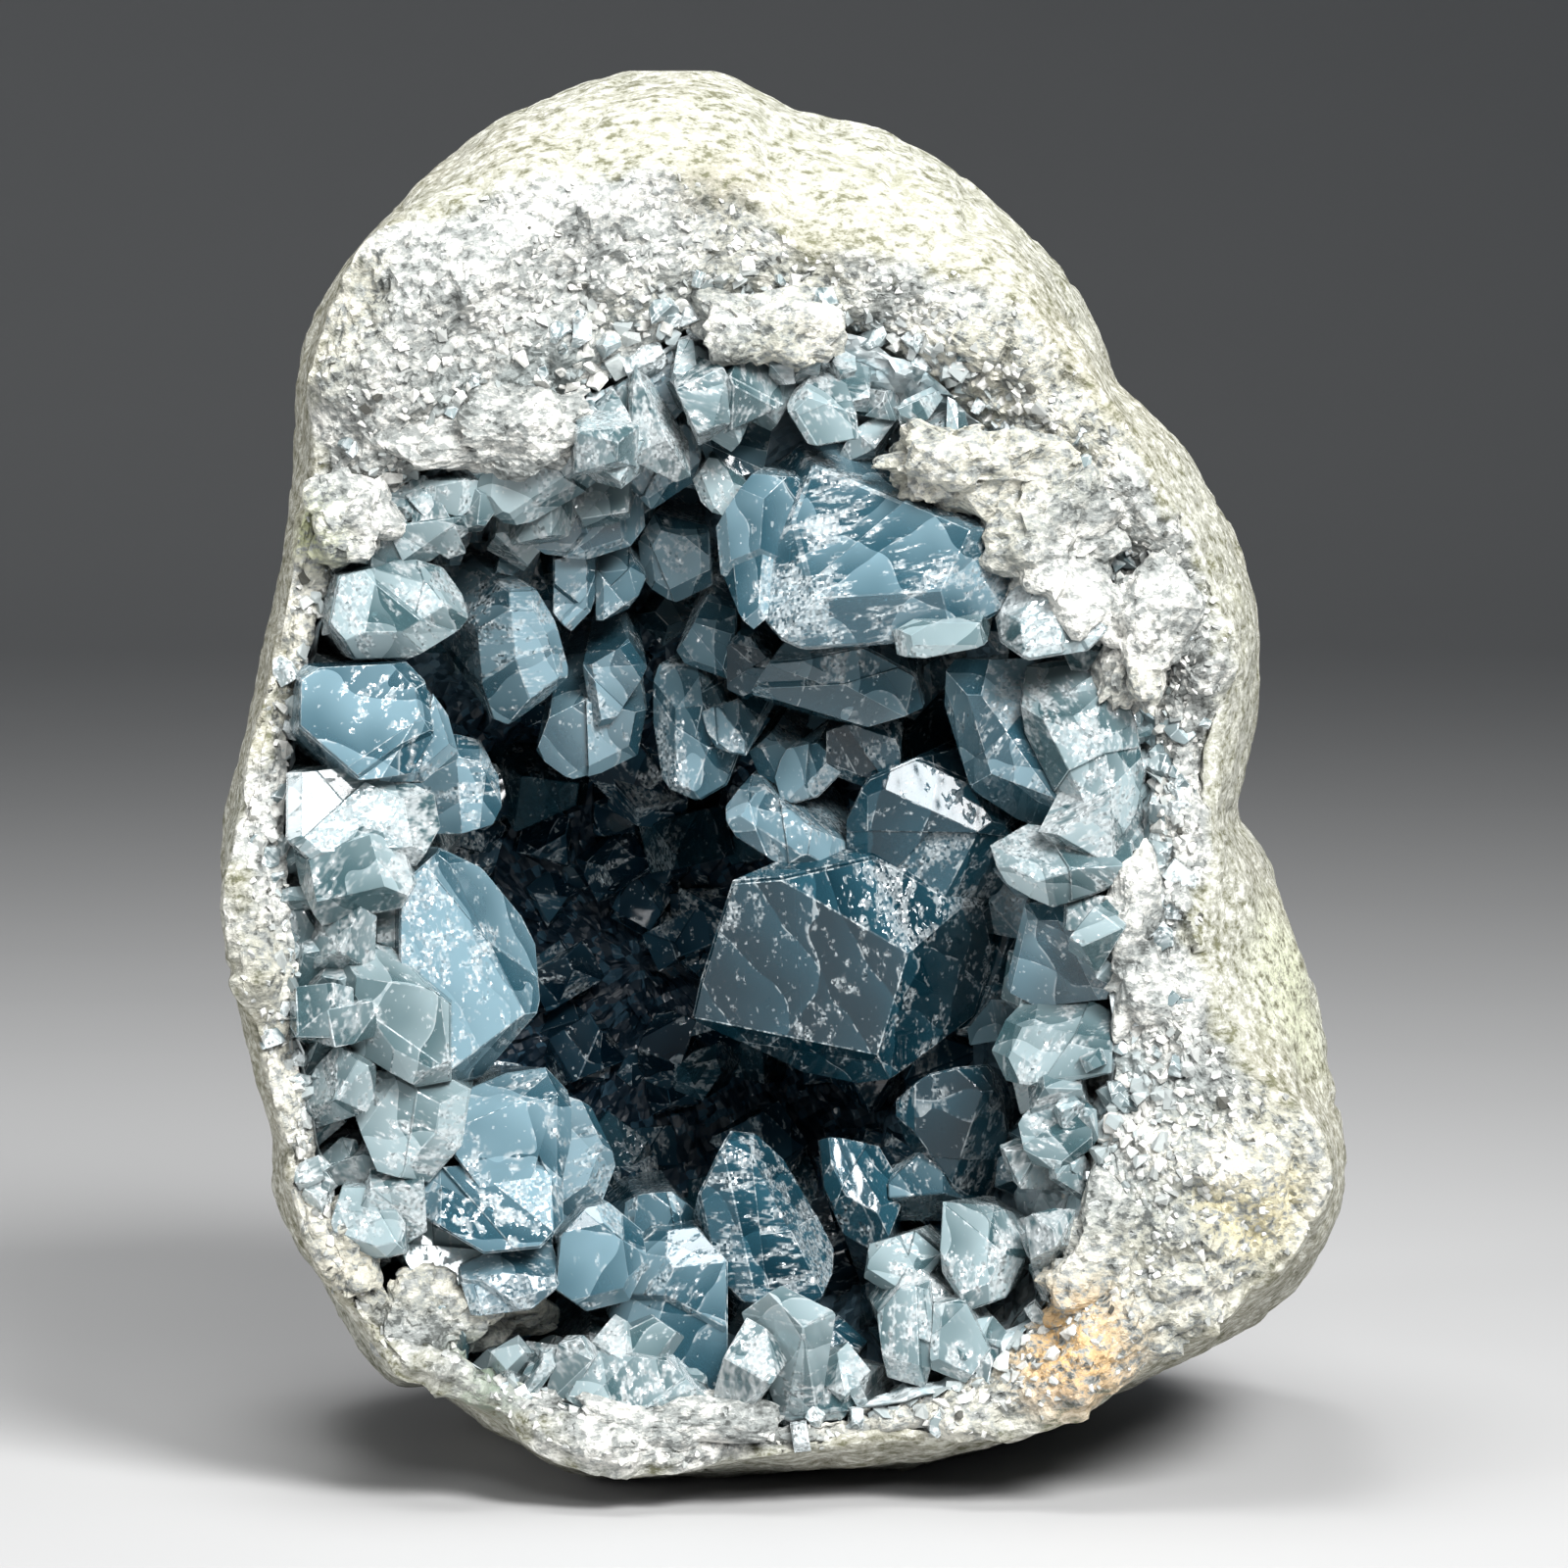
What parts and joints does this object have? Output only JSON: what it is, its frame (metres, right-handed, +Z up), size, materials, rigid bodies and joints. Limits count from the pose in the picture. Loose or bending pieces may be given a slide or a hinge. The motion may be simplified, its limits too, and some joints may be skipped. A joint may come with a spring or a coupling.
{
  "type": "celestite geode",
  "caption": "Boulder-shaped celestite geode with a pale granular rind, open in front onto a deep hollow lined with blue blocky crystals; stands on a small flat spot.",
  "frame": {"origin": "centre of the bounding box in plan, on the floor that the stone rests on", "axes": "+X to the right as seen from the open side, +Y away from the open side to the back of the boulder, +Z up"},
  "size_m": [0.1188, 0.0969, 0.147],
  "materials": {
    "pale_rock": "rough granular stone",
    "blue_celestite": "glassy crystal"
  },
  "bodies": {
    "root": {"stone_shell": "pale_rock", "crystal_crust": "blue_celestite"}
  },
  "joints": []
}
